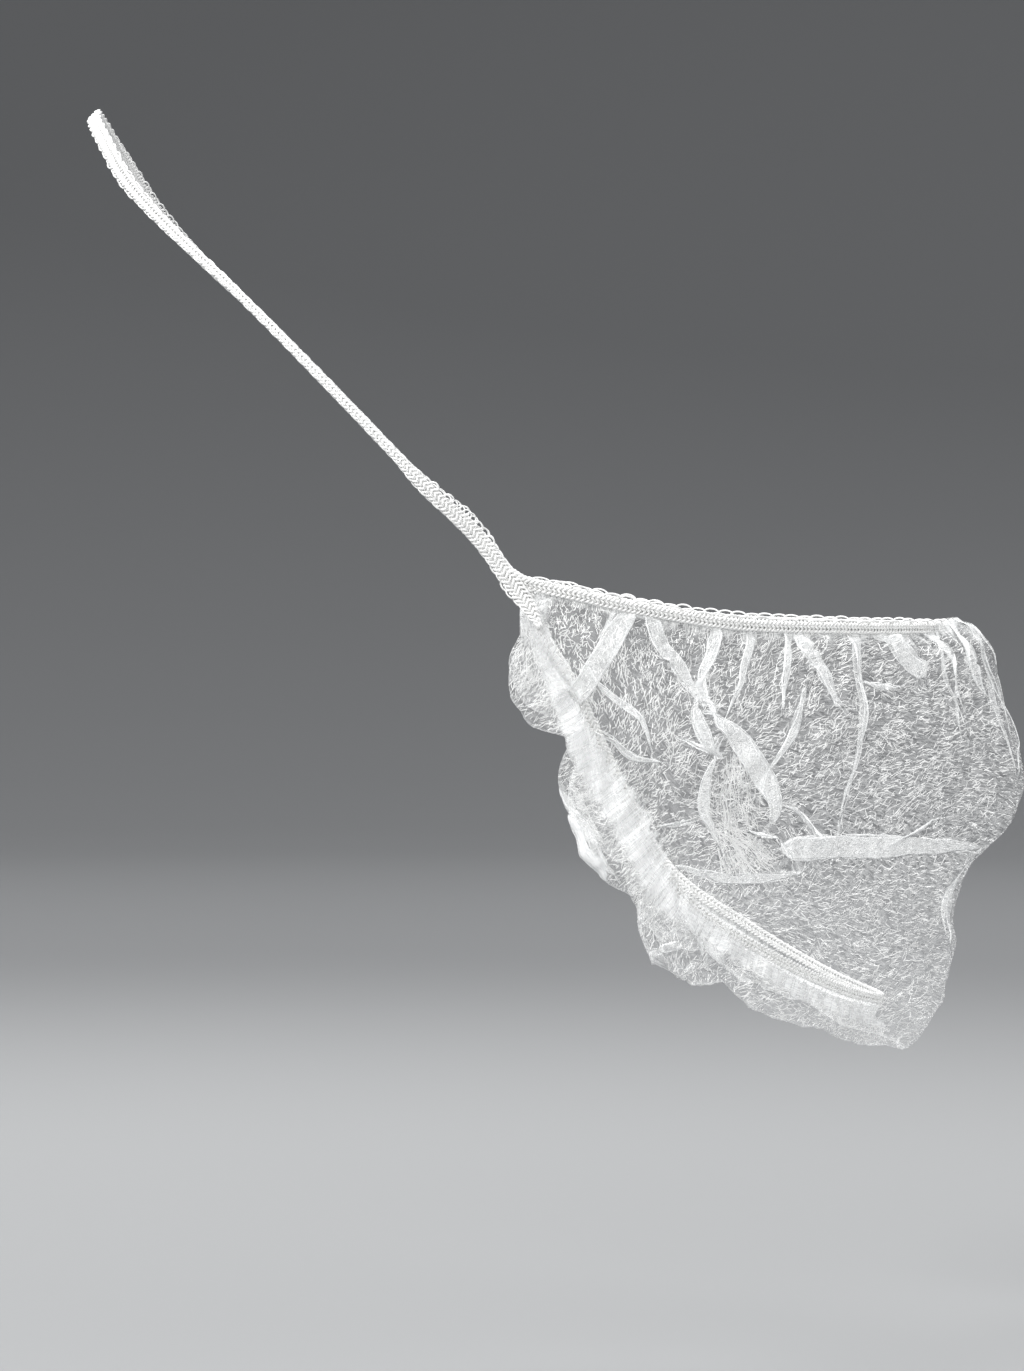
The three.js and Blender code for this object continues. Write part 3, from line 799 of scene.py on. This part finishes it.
# Finishes
nonwoven = {
    "gap": (0.84, 0.85, 0.85, 1), "fibre": (0.96, 0.965, 0.96, 1), "rough": 0.7, "bump": (0.5, 0.0001),
    "web": 0.02, "stroke": 0.2, "gathered": 0.9,  # share covered by the bare web, its strokes and its gathers
    "foldLine": (0.35, 0.63),  # where a fold's bright line is full and where it ends
    # strokes and the gathers' streaks: how many a metre along and across, detail and distortion, where they end
    "strokes": (380, 2600), "strokeNoise": (1.0, 0.4), "strokeEdge": (0.56, 0.66), "turns": (8, 52, 97, 141),
    "streaks": (1500, 70), "streakNoise": (2.0, 0.0), "streakEdge": (0.4, 0.55), "streakThin": 0.35,
}
yarn = {
    "colour": (0.97, 0.97, 0.96, 1), "shade": (0.86, 0.86, 0.85, 1), "rough": 0.8,
    "fleck": 900, "bump": (0.4, 0.0002),
}


def newMaterial(name):
    material = bpy.data.materials.new(name)
    material.use_nodes = True
    return material, material.node_tree, material.node_tree.nodes["Principled BSDF"]


def mathNode(tree, operation, *values, clamp=False):
    # values are outputs to link or constants
    node = tree.nodes.new("ShaderNodeMath")
    node.operation = operation
    node.use_clamp = clamp
    for socket, value in zip(node.inputs, values):
        if isinstance(value, bpy.types.NodeSocket):
            tree.links.new(value, socket)
        else:
            socket.default_value = value
    return node.outputs[0]


def rangeNode(tree, value, edge, ends=(0, 1), kind="LINEAR"):
    node = tree.nodes.new("ShaderNodeMapRange")
    node.interpolation_type = kind
    node.inputs["From Min"].default_value, node.inputs["From Max"].default_value = edge
    node.inputs["To Min"].default_value, node.inputs["To Max"].default_value = ends
    tree.links.new(value, node.inputs["Value"])
    return node.outputs["Result"]


def toneNode(tree, factor, first, second):
    node = tree.nodes.new("ShaderNodeMix")
    node.data_type = "RGBA"
    node.inputs["A"].default_value = first
    node.inputs["B"].default_value = second
    tree.links.new(factor, node.inputs["Factor"])
    return node.outputs["Result"]


def bumpNode(tree, height, strength, distance):
    node = tree.nodes.new("ShaderNodeBump")
    node.inputs["Strength"].default_value = strength
    node.inputs["Distance"].default_value = distance
    tree.links.new(height, node.inputs["Height"])
    return node.outputs["Normal"]


def readAttribute(tree, name):
    node = tree.nodes.new("ShaderNodeAttribute")
    node.attribute_name = name
    return node.outputs["Fac"]


def laidNoise(tree, cut, scale, turn, detail, distortion):
    # noise on the sheet's own map, stretched and turned
    laid = tree.nodes.new("ShaderNodeMapping")
    laid.inputs["Rotation"].default_value = (0, 0, math.radians(turn))
    laid.inputs["Scale"].default_value = (*scale, 1)
    tree.links.new(cut.outputs["UV"], laid.inputs["Vector"])
    noise = tree.nodes.new("ShaderNodeTexNoise")
    noise.noise_dimensions = "2D"
    noise.inputs["Scale"].default_value = 1.0
    noise.inputs["Detail"].default_value = detail
    noise.inputs["Distortion"].default_value = distortion
    tree.links.new(laid.outputs["Vector"], noise.inputs["Vector"])
    return noise.outputs["Fac"]


def nonwovenFinish():
    # a see-through web: short strokes laid at several turns, closed up where the sheet is gathered or folded
    material, tree, shader = newMaterial("nonwovenWeb")
    shader.inputs["Roughness"].default_value = nonwoven["rough"]
    cut = tree.nodes.new("ShaderNodeUVMap")
    cut.uv_map = "cut"
    strokes = None
    for turn in nonwoven["turns"]:
        noise = laidNoise(tree, cut, nonwoven["strokes"], turn, *nonwoven["strokeNoise"])
        stroke = rangeNode(tree, noise, nonwoven["strokeEdge"])
        strokes = stroke if strokes is None else mathNode(tree, "MAXIMUM", strokes, stroke)
    noise = laidNoise(tree, cut, nonwoven["streaks"], 0, *nonwoven["streakNoise"])
    thin = rangeNode(tree, noise, nonwoven["streakEdge"], ends=(nonwoven["streakThin"], 1))
    gathered = mathNode(tree, "MULTIPLY", readAttribute(tree, "dense"), thin)
    away = mathNode(tree, "ABSOLUTE", readAttribute(tree, "foldLine"))
    line = rangeNode(tree, away, nonwoven["foldLine"], ends=(1, 0))
    drawn = mathNode(tree, "MAXIMUM", gathered, line)
    web = mathNode(tree, "MULTIPLY_ADD", strokes, nonwoven["stroke"], nonwoven["web"])
    cover = mathNode(tree, "MULTIPLY_ADD", drawn, nonwoven["gathered"], web, clamp=True)
    tone = toneNode(tree, strokes, nonwoven["gap"], nonwoven["fibre"])
    tree.links.new(cover, shader.inputs["Alpha"])
    tree.links.new(tone, shader.inputs["Base Color"])
    tree.links.new(bumpNode(tree, strokes, *nonwoven["bump"]), shader.inputs["Normal"])
    return material


def yarnFinish():
    material, tree, shader = newMaterial("whiteYarn")
    shader.inputs["Roughness"].default_value = yarn["rough"]
    place = tree.nodes.new("ShaderNodeTexCoord")
    noise = tree.nodes.new("ShaderNodeTexNoise")
    noise.inputs["Scale"].default_value = yarn["fleck"]
    tree.links.new(place.outputs["Object"], noise.inputs["Vector"])
    ramp = tree.nodes.new("ShaderNodeValToRGB")
    ramp.color_ramp.elements[0].color = yarn["shade"]
    ramp.color_ramp.elements[1].color = yarn["colour"]
    tree.links.new(noise.outputs["Fac"], ramp.inputs["Fac"])
    tree.links.new(ramp.outputs["Color"], shader.inputs["Base Color"])
    tree.links.new(bumpNode(tree, noise.outputs["Fac"], *yarn["bump"]), shader.inputs["Normal"])
    return material


# Stage: a pale floor that curves up all round, and soft light
studio = {
    "floor": -0.28, "flat": 1.9, "wide": 2.9, "high": 2.0, "bendSteps": 12, "around": 96, "weld": 0.0005,
    "pale": (0.3, 0.304, 0.308, 1), "grey": (0.15, 0.153, 0.157, 1), "paleTo": 0.45, "greyFrom": 1.2,
    "rough": 0.9,
    "lamps": [  # name, place, size, watts
        ("key", (-1.3, -1.2, 1.2), 0.9, 36),
        ("fill", (1.6, -1.0, 0.7), 1.4, 12),
        ("rim", (0.6, 1.6, 1.2), 1.2, 24),
        ("front", (0.2, -2.0, 0.9), 1.4, 9),
        ("top", (0.1, 0, 2.2), 1.6, 18),
        ("low", (-0.2, -1.7, 0.42), 0.9, 7),
        ("back", (-1.2, 1.4, 0.9), 1.2, 16),
    ],
    "aim": (0.1, 0, -0.1), "room": (0.9, 0.92, 0.95, 1), "roomStrength": 0.45, "seeThrough": 24,
}


def makeStage():
    bm = bmesh.new()
    profile = [(0, 0), (studio["flat"], 0)]
    radius = studio["wide"] - studio["flat"]
    for k in range(1, studio["bendSteps"] + 1):
        turn = math.radians(90 * k / studio["bendSteps"])
        profile.append((studio["flat"] + radius * math.sin(turn), radius * (1 - math.cos(turn))))
    profile.append((studio["wide"], studio["high"]))
    verts = [bm.verts.new((r, 0, studio["floor"] + z)) for r, z in profile]
    edges = [bm.edges.new(pair) for pair in zip(verts, verts[1:])]
    bmesh.ops.spin(bm, geom=verts + edges, cent=(0, 0, 0), axis=(0, 0, 1), angle=2 * math.pi,
                   steps=studio["around"], use_merge=True)
    bmesh.ops.remove_doubles(bm, verts=bm.verts[:], dist=studio["weld"])
    for face in bm.faces:
        face.smooth = True
    floor = finishMesh(bm, "pale_floor")
    material, tree, shader = newMaterial("paleFloor")
    shader.inputs["Roughness"].default_value = studio["rough"]
    place = tree.nodes.new("ShaderNodeTexCoord")
    reach = tree.nodes.new("ShaderNodeVectorMath")
    reach.operation = "LENGTH"
    tree.links.new(place.outputs["Object"], reach.inputs[0])
    far = rangeNode(tree, reach.outputs["Value"], (studio["paleTo"], studio["greyFrom"]), kind="SMOOTHSTEP")
    tree.links.new(toneNode(tree, far, studio["pale"], studio["grey"]), shader.inputs["Base Color"])
    floor.data.materials.append(material)


def softLight(name, place, size, power):
    data = bpy.data.lights.new(name, "AREA")
    data.shape = "DISK"
    data.size = size
    data.energy = power
    lamp = bpy.data.objects.new(name, data)
    lamp.location = place
    lamp.rotation_euler = (Vector(place) - Vector(studio["aim"])).to_track_quat("Z", "Y").to_euler()
    bpy.context.scene.collection.objects.link(lamp)


def makeLight():
    for lamp in studio["lamps"]:
        softLight(*lamp)
    world = bpy.data.worlds.new("softRoom")
    world.use_nodes = True
    room = world.node_tree.nodes["Background"]
    room.inputs["Color"].default_value = studio["room"]
    room.inputs["Strength"].default_value = studio["roomStrength"]
    bpy.context.scene.world = world
    bpy.context.scene.view_settings.view_transform = "Standard"
    bpy.context.scene.cycles.transparent_max_bounces = studio["seeThrough"]
    print("stage and light made")


makeStage()
makeLight()
web, white = nonwovenFinish(), yarnFinish()
sheet = makePouch()
sheet.data.materials.append(web)
fluff = makeFibres()
fluff.data.materials.append(white)
knits = makeElastics()

for piece in (sheet, fluff):
    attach(piece, "root")
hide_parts("net_pouch")
for node, piece in knits.items():
    piece.data.materials.append(white)
    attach(piece, "root")
    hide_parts(node)

bpy.context.view_layer.update()
print("pieces placed")
